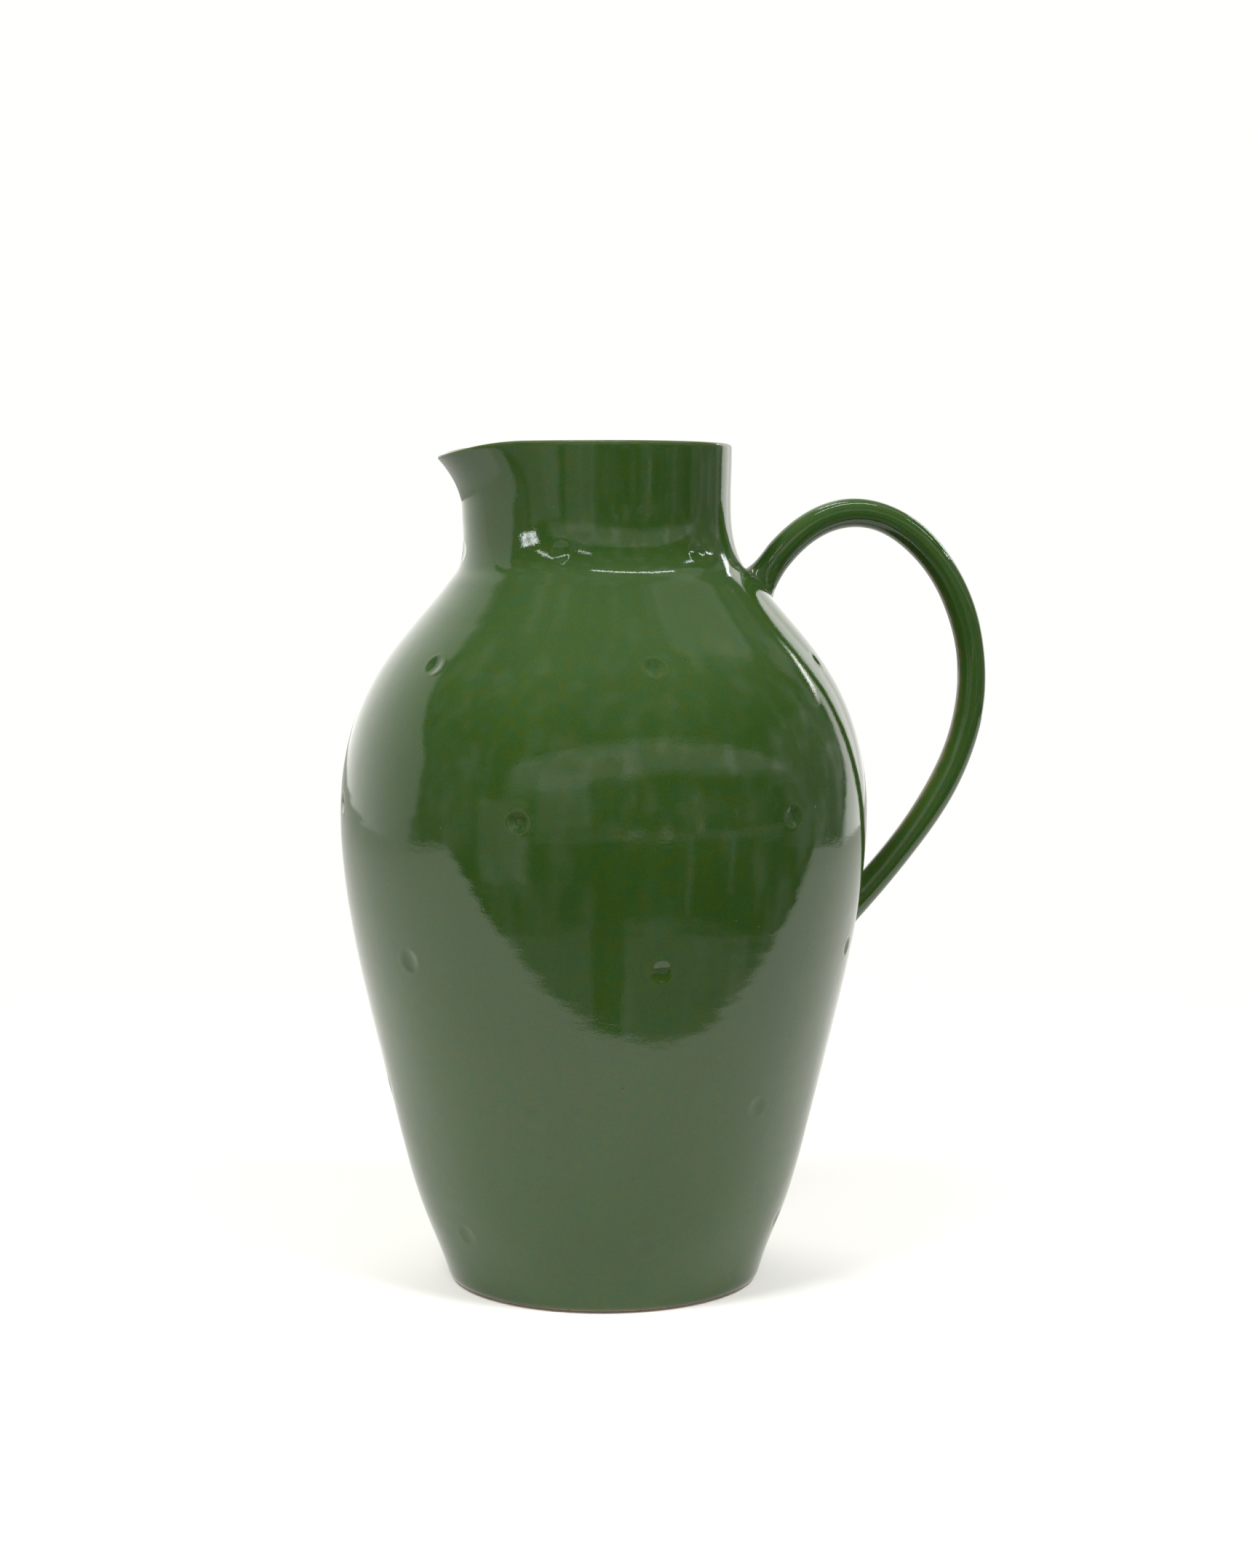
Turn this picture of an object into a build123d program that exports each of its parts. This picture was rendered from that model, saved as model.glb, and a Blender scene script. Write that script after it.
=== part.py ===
"""Hand-thrown stoneware pitcher: green glaze, pulled spout, round side handle, rows of pressed dimples.

Millimetres, +Z up. The pitcher's axis is Z and its flat underside is on z = 0.
The handle is on the +X side and the spout is opposite it, on the -X side.
"""

import os
from math import atan2, comb, cos, exp, hypot, pi, radians, sin

from build123d import *

# ---- Driving dimensions -------------------------------------------------------------------------
height = 300.0  # table to rim
glaze = 0.6  # thickness of every glaze coat
floor_thickness = 7.0  # clay and liner glaze under the contents
wall_low = 5.5  # whole wall beside the floor, glaze included
wall_rim = 4.2  # whole wall at the rim, glaze included
foot_rounding = 3.0  # rounded edge between the underside and the wall
glaze_line = 1.2  # the outer glaze stops this far above the table
lip_rounding = 1.6  # rounding of the glazed rim, inside and outside
floor_rounding = 12.0  # curve between the floor and the wall, inside
liner_top = height - 12  # the inner glaze meets the outer glaze here, below the spout's lip

# Control polygon of the outer outline, (radius, height), from the foot edge up to the rim.
# The outline is the Bezier curve that leans towards these points.
outline_polygon = [
    (55.6, 0),
    (67, 45),
    (82, 19),
    (54, 103),
    (128, 180),
    (142, 219),
    (27, 257),
    (46, 237),
    (46, height),
]

# Spout: the neck is drawn out into a throat, and the rim above it into a narrower lip.
throat_reach, throat_spread = 6.0, radians(40)
throat_bottom, throat_top = 246.0, 278.0
lip_reach, lip_spread = 11.5, radians(25)
lip_bottom = 276.0
lip_flare = 1.6  # above 1 the lip flares out late, close under the rim
lip_drop = 4.5  # the tip of the spout is this far below the rim
lip_tip = 59.5  # distance from the axis to the tip
lip_drop_start = 34.0  # distance from the axis where the rim starts to drop

# Handle: a round pulled coil, bowed out from the shoulder and back to the belly, in the XZ plane.
# Its centre line is the Bezier curve with this control polygon, (distance from the axis, height);
# both ends lie inside the body's wall, where the coil is cut off.
handle_radius = 5.3
handle_polygon = [(49, 234), (99, 349), (182, 209), (143, 186), (78, 116)]
handle_start = 0.0  # where the centre line starts, inside the shoulder
handle_end = 1.0  # where it ends, inside the belly
handle_root = 0.2  # each root crosses the wall within this share of the centre line
joint_length = 11.0  # how far the smoothed joint clay climbs the handle
joint_clay = 0.3  # how thinly it ends there
joint_spread = 2.8  # how much wider than the handle it gets at the body

# Dimples: six round tool marks to a row, each row turned half a step from the row below it.
dimple_radius = 3.6
dimple_depth = 0.8
dimples_in_row = 6
dimple_rows = [25, 73, 124, 174, 224, 262]

# Rings that the wall is skinned over: far apart on the body, closer on the neck and the spout.
body_rings = (0, 240, 20)  # from, to, spacing
neck_rings = (250, 280, 10)
spout_rings = (285, height, 5)
ring_steps = 28  # points round one ring
ring_bunching = 0.5  # above 0 these points crowd towards the spout
rim_steps = 16  # points along the rim's line, seen from the side

# Room left round the shapes that cut others, and halvings to find a point on a curve.
cutter_reach = 80.0  # wider than the mouth and the spout
overshoot = 5.0  # how far the hollow runs out through the mouth
halvings = 40

# ---- Shape of the body --------------------------------------------------------------------------


def outline_point(t):
    """Radius and height at t (0 at the foot, 1 at the rim) on the outer outline."""
    last = len(outline_polygon) - 1
    weights = [comb(last, i) * t**i * (1 - t) ** (last - i) for i in range(last + 1)]
    radius = sum(w * point[0] for w, point in zip(weights, outline_polygon))
    level = sum(w * point[1] for w, point in zip(weights, outline_polygon))
    return radius, level


def outline_radius(level):
    """Outer radius of the round body at a height, found by halving, because height rises with t."""
    low, high = 0.0, 1.0
    for _ in range(halvings):
        middle = (low + high) / 2
        if outline_point(middle)[1] < level:
            low = middle
        else:
            high = middle
    return outline_point(high)[0]


def smooth_step(value, start, end):
    """0 below start, 1 above end, and a smooth rise between them."""
    x = min(max((value - start) / (end - start), 0.0), 1.0)
    return x * x * (3 - 2 * x)


def spout_pull(angle, level):
    """How far the spout draws the wall out, angle being measured from the spout's direction."""
    throat = throat_reach * smooth_step(level, throat_bottom, throat_top)
    lip = lip_reach * (max(level - lip_bottom, 0.0) / (height - lip_bottom)) ** lip_flare
    return throat * exp(-((angle / throat_spread) ** 2)) + lip * exp(-((angle / lip_spread) ** 2))


def wall_thickness(level):
    """The whole wall thins evenly from the floor to the rim."""
    return wall_low + (wall_rim - wall_low) * level / height


def ring_points(level, inset):
    """Points around the body at one height, closest together at the spout."""
    points = []
    for step in range(ring_steps):
        turn = 2 * step / ring_steps - 1
        angle = pi * turn * abs(turn) ** ring_bunching
        radius = outline_radius(level) - inset + spout_pull(angle, level)
        points.append((-radius * cos(angle), radius * sin(angle)))
    return points


def form(inset_at, levels):
    """Solid form of the body, skinned over rings that stand inset_at(level) inside the outline."""
    with BuildPart() as solid_form:
        for level in levels:
            with BuildSketch(Plane.XY.offset(level)):
                with BuildLine():
                    Spline(*ring_points(level, inset_at(level)), periodic=True)
                make_face()
        loft()
    return solid_form.part


def above_rim(lowered):
    """The space above a rim that is flat, then sinks towards the spout's tip; lowered moves it all."""
    ceiling = height + overshoot
    rim_line = []
    for step in range(rim_steps + 1):
        x = cutter_reach - 2 * cutter_reach * step / rim_steps
        drop = lip_drop * (max(-x - lip_drop_start, 0) / (lip_tip - lip_drop_start)) ** 2
        rim_line.append((x, height - lowered - drop))
    with BuildPart() as space:
        with BuildSketch(Plane.XZ):
            with BuildLine():
                rim = Spline(*rim_line)
                Polyline(rim @ 1, (-cutter_reach, ceiling), (cutter_reach, ceiling), rim @ 0)
            make_face()
        extrude(amount=cutter_reach, both=True)
    return space.part


def rim_edges(part):
    """Edges that run round the mouth, leaving out the straight ones across the rim's width."""
    high_edges = part.edges().filter_by(lambda e: e.center().Z > liner_top)
    return high_edges.filter_by(GeomType.LINE, reverse=True)


def dimple_centres():
    """Centres of the round tool tips that press the dimples."""
    ball = (dimple_radius**2 + dimple_depth**2) / (2 * dimple_depth)
    step = 360 / dimples_in_row
    centres = []
    for row, level in enumerate(dimple_rows):
        turn = 0 if row % 2 else step / 2
        slope = (outline_radius(level + 1) - outline_radius(level - 1)) / 2
        outward, upward = 1 / hypot(1, slope), -slope / hypot(1, slope)
        for index in range(dimples_in_row):
            angle = radians(turn + index * step)
            under_handle = level == dimple_rows[-1] and index == 0
            if under_handle:
                continue
            from_spout = atan2(sin(angle - pi), cos(angle - pi))
            surface = outline_radius(level) + spout_pull(from_spout, level)
            stand_off = ball - dimple_depth
            radius = surface + outward * stand_off
            centres.append((radius * cos(angle), radius * sin(angle), level + upward * stand_off))
    return centres, ball


def levels_between(bottom, top, spacing):
    """Evenly spaced heights from bottom to top, close to the spacing asked for."""
    count = round((top - bottom) / spacing)
    return [bottom + (top - bottom) * i / count for i in range(count + 1)]


centres, ball_radius = dimple_centres()
ring_levels = levels_between(*body_rings) + levels_between(*neck_rings) + levels_between(*spout_rings)


def outer_volume(inset):
    """Everything inside the outer surface moved in by inset, with the rim lowered as much."""
    with BuildPart() as volume:
        add(form(lambda level: inset, ring_levels))
        fillet(volume.edges().group_by(Axis.Z)[0], foot_rounding)
        with Locations(*centres):
            Sphere(ball_radius + inset, mode=Mode.SUBTRACT)
        add(above_rim(inset), mode=Mode.SUBTRACT)
    return volume.part


def cavity_volume(outset):
    """The hollow that holds the water, moved out by outset; it runs out through the mouth."""
    bottom = floor_thickness - outset
    levels = [bottom] + [level for level in ring_levels if level > floor_thickness] + [height + overshoot]
    with BuildPart() as volume:
        add(form(lambda level: wall_thickness(level) - outset, levels))
        fillet(volume.edges().group_by(Axis.Z)[0], floor_rounding)
    return volume.part


def wall_between(outer, cavity, rounding):
    """A cup between an outer volume and a cavity, with a rounded rim."""
    with BuildPart() as cup:
        add(outer)
        add(cavity, mode=Mode.SUBTRACT)
        fillet(rim_edges(cup.part), rounding)
    return cup.part


# ---- Clay body ----------------------------------------------------------------------------------

clay_outside = outer_volume(glaze)

with BuildPart() as clay_body:
    add(wall_between(clay_outside, cavity_volume(glaze), lip_rounding - glaze))

# ---- Handle and the clay that joins it to the body ----------------------------------------------

with BuildLine(Plane.XZ) as handle_path:
    Bezier(*handle_polygon)
path = handle_path.wires()[0]


def body_crossing(inside, outside):
    """Where, from 0 to 1 along the handle's line, it passes through the body's outer surface."""
    for _ in range(halvings):
        middle = (inside + outside) / 2
        point = path @ middle
        if point.X < outline_radius(point.Z):
            inside = middle
        else:
            outside = middle
    return outside


def coil(radius):
    """The handle's round coil, running into the body at both ends."""
    with BuildPart() as tube:
        with BuildSketch(Plane(path @ 0, z_dir=path % 0)):
            Circle(radius)
        sweep(path=path)
    return tube.part


def joint_horn(crossing, away, radius):
    """Clay flared round the handle where it meets the body; away (1 or -1) leads off the body."""
    with BuildPart() as horn:
        for share in (-1, 0, 1 / 3, 2 / 3, 1):
            distance = share * joint_length
            at = crossing + away * distance / path.length
            spread = joint_spread * (1 - max(share, 0)) ** 2
            with BuildSketch(Plane(path @ at, z_dir=path % at)):
                Circle(radius + joint_clay + spread)
        loft()
    return horn.part


clay_radius = handle_radius - glaze
upper_crossing = body_crossing(handle_start, handle_start + handle_root)
lower_crossing = body_crossing(handle_end, handle_end - handle_root)

with BuildPart() as handle:
    add(coil(clay_radius))
    add(clay_outside, mode=Mode.SUBTRACT)

with BuildPart() as upper_handle_joint:
    add(joint_horn(upper_crossing, 1, clay_radius))
    add(coil(clay_radius), mode=Mode.SUBTRACT)
    add(clay_outside, mode=Mode.SUBTRACT)

with BuildPart() as lower_handle_joint:
    add(joint_horn(lower_crossing, -1, clay_radius))
    add(coil(clay_radius), mode=Mode.SUBTRACT)
    add(clay_outside, mode=Mode.SUBTRACT)

handle_clay = [handle.part, upper_handle_joint.part, lower_handle_joint.part]

# ---- Glaze coats --------------------------------------------------------------------------------

glazed_outside = outer_volume(0)

with BuildPart() as handle_glaze:
    add(coil(handle_radius))
    add(joint_horn(upper_crossing, 1, handle_radius))
    add(joint_horn(lower_crossing, -1, handle_radius))
    add([glazed_outside, *handle_clay], mode=Mode.SUBTRACT)

# Every bit of glaze on the body, in one piece over the rim, is parted below the spout's lip.
with BuildPart() as body_glaze:
    add(wall_between(glazed_outside, cavity_volume(0), lip_rounding))
    add(clay_body.part, mode=Mode.SUBTRACT)
    split(bisect_by=Plane.XY.offset(glaze_line), keep=Keep.TOP)

with BuildPart() as coats_below_liner_top:
    add(body_glaze.part)
    split(bisect_by=Plane.XY.offset(liner_top), keep=Keep.BOTTOM)
liner, jacket = coats_below_liner_top.solids().sort_by(lambda coat: coat.bounding_box().size.X)

with BuildPart() as inner_glaze:
    add(liner)

with BuildPart() as outer_glaze:
    add(body_glaze.part)
    split(bisect_by=Plane.XY.offset(liner_top), keep=Keep.TOP)
    add(jacket)
    add(handle_clay, mode=Mode.SUBTRACT)

# ---- Written pieces -----------------------------------------------------------------------------

pieces = {
    "clay_body": clay_body,
    "handle": handle,
    "upper_handle_joint": upper_handle_joint,
    "lower_handle_joint": lower_handle_joint,
    "outer_glaze": outer_glaze,
    "inner_glaze": inner_glaze,
    "handle_glaze": handle_glaze,
}

os.makedirs("parts", exist_ok=True)
for name, piece in pieces.items():
    piece.part.label = name
    export_step(piece.part, f"parts/{name}.step")
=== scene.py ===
from math import comb, cos, pi, radians, sin, tan

import bpy
import numpy as np
from mathutils import Matrix, Vector


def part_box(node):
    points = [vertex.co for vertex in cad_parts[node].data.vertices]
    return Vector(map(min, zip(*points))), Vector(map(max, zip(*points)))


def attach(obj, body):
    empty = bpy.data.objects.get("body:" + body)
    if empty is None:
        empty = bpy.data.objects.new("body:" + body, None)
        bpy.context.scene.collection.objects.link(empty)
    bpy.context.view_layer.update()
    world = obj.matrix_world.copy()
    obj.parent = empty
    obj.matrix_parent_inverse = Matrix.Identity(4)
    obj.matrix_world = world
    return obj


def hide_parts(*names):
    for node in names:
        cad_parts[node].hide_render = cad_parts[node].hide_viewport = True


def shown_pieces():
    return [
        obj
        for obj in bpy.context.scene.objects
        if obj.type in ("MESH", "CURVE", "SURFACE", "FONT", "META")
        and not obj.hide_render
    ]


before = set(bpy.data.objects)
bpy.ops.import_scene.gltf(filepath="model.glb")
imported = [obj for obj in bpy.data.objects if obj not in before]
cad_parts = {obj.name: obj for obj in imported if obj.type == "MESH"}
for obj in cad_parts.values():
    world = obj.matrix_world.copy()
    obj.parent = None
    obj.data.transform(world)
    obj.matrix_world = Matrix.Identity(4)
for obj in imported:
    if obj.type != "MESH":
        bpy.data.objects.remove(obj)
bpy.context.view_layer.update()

# The shapes are written in millimetres of a pitcher 300 mm tall, and the CAD frame sets the real size.
DRAWN_HEIGHT = 300.0
foot_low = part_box("clay_body")[0]
glaze_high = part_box("outer_glaze")[1]
MM = (glaze_high.z - foot_low.z) / DRAWN_HEIGHT

# ---- Driving dimensions: the CAD part's, with a slightly slimmer spout -----------------------------
# Control points of the outline, (radius, height) from foot to rim, and of the handle's centre line.
OUTLINE = np.array(
    [
        (55.6, 0), (67, 45), (82, 19), (54, 103), (128, 180),
        (142, 219), (27, 257), (46, 237), (46, 300),
    ],
    float,
)
HANDLE = np.array([(49, 234), (99, 349), (182, 209), (143, 186), (78, 116)], float)
GLAZE = 0.6  # thickness of the coat
FLOOR_LEVEL, FLOOR_ROUNDING = 7.0, 12.0
WALL_LOW, WALL_RIM = 5.5, 4.2  # thickness at the foot and at the rim
FOOT_ROUNDING = 3.0
GLAZE_LINE = 1.2  # the outer coat ends this far above the table
LIP_ROUNDING = 1.6
CLAY_ROUNDING = LIP_ROUNDING - GLAZE
LINER_TOP = DRAWN_HEIGHT - 12
CLAY_FLOOR = FLOOR_LEVEL - GLAZE
THROAT_REACH, THROAT_SPREAD, THROAT_BOTTOM, THROAT_TOP = 5.2, radians(40), 246.0, 278.0
LIP_REACH, LIP_SPREAD, LIP_BOTTOM, LIP_FLARE = 13.9, radians(25), 276.0, 2.1
LIP_DROP, LIP_TIP, LIP_DROP_START = 4.5, 59.5, 34.0
HANDLE_RADIUS = 5.3
DIMPLE_RADIUS, DIMPLE_DEPTH = 3.6, 0.8
DIMPLES_IN_ROW = 6
DIMPLE_ROWS = [25, 73, 124, 174, 224, 262]
OUTLINE_STEPS = 8001


def bezier(points, t):
    """Points on the Bezier curve with this control polygon."""
    t = np.asarray(t, float)
    last = len(points) - 1
    weights = np.array([comb(last, i) * t**i * (1 - t) ** (last - i) for i in range(last + 1)])
    return np.moveaxis(np.tensordot(weights, points, (0, 0)), -1, 0)


CURVE_R, CURVE_Z = bezier(OUTLINE, np.linspace(0, 1, OUTLINE_STEPS))

# The thrower set the neck on the shoulder with a tighter bend than the smooth outline has:
# (height, extra steepness). The radius it adds stays under half a millimetre and ends where it began.
NECK_BEND = [
    (226, 0), (232, 0.008), (236, 0.035), (239, 0.06), (242, 0.068), (245, 0.055),
    (247, 0.03), (249, 0), (250.5, -0.05), (252, -0.17), (253.3, -0.26), (254.7, -0.25),
    (256, -0.12), (257.5, -0.02), (260, 0.02), (264, 0.03), (268, 0),
]
NECK_ROOT = 253.5  # height of the tightest part of that bend
bend_z, bend_slope = np.array(NECK_BEND, float).T
extra = np.interp(CURVE_Z, bend_z, bend_slope, 0, 0)
added = np.concatenate([[0], np.cumsum((extra[1:] + extra[:-1]) / 2 * np.diff(CURVE_Z))])
CURVE_R = CURVE_R + added - added[-1] * np.interp(CURVE_Z, (bend_z[0], bend_z[-1]), (0, 1))


def outline_radius(level):
    """Radius of the outline at a height, without spout or unevenness."""
    return np.interp(level, CURVE_Z, CURVE_R)


def outline_slope(level):
    """How fast the radius grows with height."""
    reach = 0.3
    low, high = np.clip(level - reach, 0, DRAWN_HEIGHT), np.clip(level + reach, 0, DRAWN_HEIGHT)
    return (outline_radius(high) - outline_radius(low)) / (high - low)


def smooth_step(value, start, end):
    x = np.clip((value - start) / (end - start), 0, 1)
    return x * x * (3 - 2 * x)


def spout_pull(angle, level):
    """How far the spout draws the wall out; angle is measured from the handle's direction."""
    off = (angle + 2 * pi) % (2 * pi) - pi
    throat = THROAT_REACH * smooth_step(level, THROAT_BOTTOM, THROAT_TOP)
    flare = (np.maximum(level - LIP_BOTTOM, 0) / (DRAWN_HEIGHT - LIP_BOTTOM)) ** LIP_FLARE
    wide = throat * np.exp(-((off / THROAT_SPREAD) ** 2))
    return wide + LIP_REACH * flare * np.exp(-((off / LIP_SPREAD) ** 2))


# Amplitudes of the unevenness, and where the handle's roots hold it down: (height, reach).
OVAL, THREE_SIDED, RIBS, SHORT_WAVES, LONG_WAVES = 0.22, 0.14, 0.006, 0.014, 0.03
HANDLE_ROOTS, ROOT_HALF_ANGLE = ((236, 18), (124, 20)), 0.22


def by_hand(angle, level):
    """What the thrower's hands left: the wall is out of round by a hair and faintly ribbed.

    Each term is an amplitude in millimetres times a slow wave round and up the body. The foot, the
    neck and the two roots of the handle are kept calm.
    """
    calm = smooth_step(level, 0, 14) * (1 - 0.8 * smooth_step(level, 236, 262))
    oval = OVAL * np.sin(2 * angle + 0.8 + level / 90)
    three_sided = THREE_SIDED * np.sin(3 * angle - 1.1 - level / 60)
    ribs = RIBS * np.sin(level / 1.0 + 0.9 * np.sin(angle + level / 37)) * np.sin(level / 23 + angle)
    waves = SHORT_WAVES * np.sin(level / 3.1 + 2 * np.sin(angle - level / 51))
    waves = waves + LONG_WAVES * np.sin(level / 9.5 + 1.6 * np.sin(2 * angle + level / 70))
    near_handle = np.exp(-((((angle + pi) % (2 * pi) - pi) / ROOT_HALF_ANGLE) ** 2))
    roots = 0
    for height, reach in HANDLE_ROOTS:
        roots = roots + np.exp(-(((level - height) / reach) ** 2))
    return calm * (oval + three_sided + ribs + waves) * (1 - near_handle * np.clip(roots, 0, 1))


def body_radius(angle, level):
    """Radius of the body's outer surface, with spout and unevenness but without dimples."""
    return outline_radius(level) + spout_pull(angle, level) + by_hand(angle, level)


def wall(level):
    """Thickness of the wall at a height, glaze included."""
    return WALL_LOW + (WALL_RIM - WALL_LOW) * level / DRAWN_HEIGHT


def rim_drop(x):
    """How far the rim has sunk at x, towards the spout's tip."""
    return LIP_DROP * (np.maximum(-x - LIP_DROP_START, 0) / (LIP_TIP - LIP_DROP_START)) ** 2


# ---- Dimples ---------------------------------------------------------------------------------------
def dimple_spots():
    """Where the tool touched: points on the body's surface. The handle's neck side has none."""
    spots = []
    for row, level in enumerate(DIMPLE_ROWS):
        turn = 0 if row % 2 else pi / DIMPLES_IN_ROW
        for index in range(DIMPLES_IN_ROW):
            if level == DIMPLE_ROWS[-1] and index == 0:
                continue
            angle = turn + 2 * pi * index / DIMPLES_IN_ROW
            radius = outline_radius(level) + spout_pull(angle, level)
            spots.append((radius * cos(angle), radius * sin(angle), level))
    return np.array(spots)


SPOTS = dimple_spots()
BOWL_SOFTNESS = 0.16  # how softly the bowl runs out at its edge
BOWL_SIZE, SIZE_SPREAD = 1.02, 0.08  # average size and how much it differs from dimple to dimple
BOWL_DEPTH, DEPTH_SPREAD = 0.78, 0.16
EDGE_PLACE, EDGE_WIDTH, EDGE_HEIGHT = 1.18, 0.17, 0.08  # the lip: shares of the radius; millimetres
FAINT_BELOW, LOW_SHARE, NECK_SHARE = 100, 0.62, 0.45  # the lowest rows and the neck's are fainter


def dimple_field(points):
    """Depth of the dimples (1 in the middle) and the height of the soft lip round them."""
    depth, lip = np.zeros(points.shape[:-1]), np.zeros(points.shape[:-1])
    for index, spot in enumerate(SPOTS):
        near = np.abs(points[..., 2] - spot[2]).min(axis=-1) < 2 * DIMPLE_RADIUS
        if not near.any():
            continue
        size = BOWL_SIZE * DIMPLE_RADIUS * (1 + SIZE_SPREAD * sin(5.1 * index))
        q = np.linalg.norm(points[near] - spot, axis=-1) / size
        bowl = BOWL_SOFTNESS * np.logaddexp(0, (1 - q * q) / BOWL_SOFTNESS)
        faint = NECK_SHARE if spot[2] > NECK_ROOT else LOW_SHARE if spot[2] < FAINT_BELOW else 1.0
        depth[near] += faint * bowl * (BOWL_DEPTH + DEPTH_SPREAD * sin(3.7 * index + 1))
        lip[near] += faint * np.exp(-(((q - EDGE_PLACE) / EDGE_WIDTH) ** 2))
    return depth, lip


def outward(angle, level):
    """Unit vectors that stand on the body's outer surface."""
    slope = outline_slope(level) * np.ones_like(angle)
    length = np.hypot(1, slope)
    return np.stack([np.cos(angle) / length, np.sin(angle) / length, -slope / length], -1)


# ---- Spacing of the grids --------------------------------------------------------------------------
SPACING_STEPS = 9001
CROWD_FADE = 2.2  # the rows reach their wide spacing at this many times the crowded reach


def crowded(start, end, centres, close, wide, reach):
    """Values from start to end, `close` apart near the centres and `wide` apart elsewhere."""
    fine = np.linspace(start, end, SPACING_STEPS)
    away = np.abs(fine[:, None] - np.asarray(centres)[None, :]).min(axis=1)
    spacing = close + (wide - close) * smooth_step(away, reach, CROWD_FADE * reach)
    count = np.concatenate([[0], np.cumsum(np.diff(fine) / spacing[1:])])
    return np.interp(np.linspace(0, count[-1], int(round(count[-1])) + 1), count, fine)


def column_angles(per_sector, crowding):
    """Angles round the body, closest together at the twelve directions that carry dimples."""
    sectors = 2 * DIMPLES_IN_ROW
    u = np.arange(sectors * per_sector) / per_sector
    return 2 * pi / sectors * (u - crowding * np.sin(2 * pi * u) / (2 * pi))


def outer_levels(close, wide):
    """Heights of the rows on the outer surface, spaced along the outline."""
    walk = np.concatenate([[0], np.cumsum(np.hypot(np.diff(CURVE_R), np.diff(CURVE_Z)))])
    busy = np.interp(DIMPLE_ROWS + [NECK_ROOT], CURVE_Z, walk)
    rows = crowded(0, walk[-1], busy, close, wide, DIMPLE_RADIUS)
    return np.interp(rows, walk, CURVE_Z)


# ---- Rows of points, each one ring round the body --------------------------------------------------
THIN_ON_LIP, POOL_IN_BOWL = 0.10, 0.7  # the glaze runs off the dimples' lips into their bowls
THIN_ON_RIM, THIN_BESIDE_RIM = 0.25, 0.05
RIM_ROUNDS = 6  # repeats until the rim's height and its drop agree
LEANING_FROM = 268.0  # above this height the rings lean with the sunk rim


class Rings:
    """Builds a piece ring by ring; every ring has one point for each angle."""

    def __init__(self, angles):
        self.angles = angles
        self.rows, self.thin, self.pool = [], [], []

    def add(self, radius, level, thin=0.0):
        even = np.ones_like(self.angles)
        x, y = radius * np.cos(self.angles), radius * np.sin(self.angles)
        self.rows.append(np.stack([x, y, level * even], -1))
        self.thin.append(thin * even)
        self.pool.append(0 * even)

    def outer(self, levels, depth):
        """Rings on the outer surface or `depth` inside it, with the dimples pressed in."""
        angles = self.angles[None, :] * np.ones((len(levels), 1))
        levels = levels * np.ones_like(angles)
        radius = body_radius(angles, levels)
        skin = np.stack([radius * np.cos(angles), radius * np.sin(angles), levels], -1)
        hollow, lip = dimple_field(skin)
        rounding = np.maximum(FOOT_ROUNDING - levels, 0)
        radius = radius - depth - FOOT_ROUNDING + np.sqrt(FOOT_ROUNDING**2 - rounding**2)
        here = np.stack([radius * np.cos(angles), radius * np.sin(angles), levels], -1)
        push = EDGE_HEIGHT * lip - DIMPLE_DEPTH * hollow
        here = here + push[..., None] * outward(angles, levels)
        for ring, bowl, edge in zip(here, hollow, lip):
            self.rows.append(ring)
            self.thin.append(THIN_ON_LIP * edge)
            self.pool.append(np.clip(POOL_IN_BOWL * bowl, 0, 1))

    def rim_level(self, depth, below, lowered):
        level = DRAWN_HEIGHT - lowered - below * np.ones_like(self.angles)
        for _ in range(RIM_ROUNDS):
            x = (body_radius(self.angles, level) - depth) * np.cos(self.angles)
            level = DRAWN_HEIGHT - lowered - rim_drop(x) - below
        return level

    def rim(self, depth, below, lowered, thin=0.0):
        level = self.rim_level(depth, below, lowered)
        self.add(body_radius(self.angles, level) - depth, level, thin)


def up_the_outside(rings, levels, depth, lowered, rounding):
    """Outer rings; the top ones lean with the rim so that the last is where its rounding begins."""
    upright = levels[levels < LEANING_FROM]
    top_rows = levels[levels >= LEANING_FROM]
    rings.outer(upright[:, None], depth)
    start = rings.rim_level(depth, rounding, lowered)
    share = (top_rows - LEANING_FROM) / (DRAWN_HEIGHT - LEANING_FROM)
    rings.outer(LEANING_FROM + share[:, None] * (start - LEANING_FROM)[None, :], depth)


def over_the_rim(rings, depth, lowered, rounding, steps):
    """The rounded rim, from its outer side to its inner side."""
    inner = WALL_RIM - depth
    for step in range(1, steps + 1):
        q = pi / 2 * step / steps
        thin = THIN_ON_RIM * sin(2 * q) + THIN_BESIDE_RIM
        rings.rim(depth + rounding * (1 - cos(q)), rounding * (1 - sin(q)), lowered, thin)
    for step in range(steps + 1):
        q = pi / 2 * step / steps
        thin = THIN_ON_RIM * sin(2 * q) + THIN_BESIDE_RIM
        rings.rim(inner - rounding * (1 - sin(q)), rounding * (1 - cos(q)), lowered, thin)


def down_the_neck(rings, depth, lowered, rounding, steps):
    """Inner rings from the rim to where the liner glaze begins; depth is taken off the wall."""
    start = rings.rim_level(WALL_RIM - depth, rounding, lowered)
    for step in range(1, steps + 1):
        level = start + (LINER_TOP - start) * step / steps
        rings.add(body_radius(rings.angles, level) - wall(level) + depth, level)


def inside_radius(angles, level, depth):
    """Radius of the hollow at a height, moved out by depth, with the curve between floor and wall."""
    floor = FLOOR_LEVEL - depth
    up = np.clip((level - floor) / FLOOR_ROUNDING, 0, 1)
    corner = FLOOR_ROUNDING * (1 - np.sqrt(1 - (1 - up) ** 2))
    smooth = outline_radius(level) + spout_pull(angles, level) * smooth_step(level, 0, 20)
    return smooth - wall(level) + depth - corner


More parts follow.
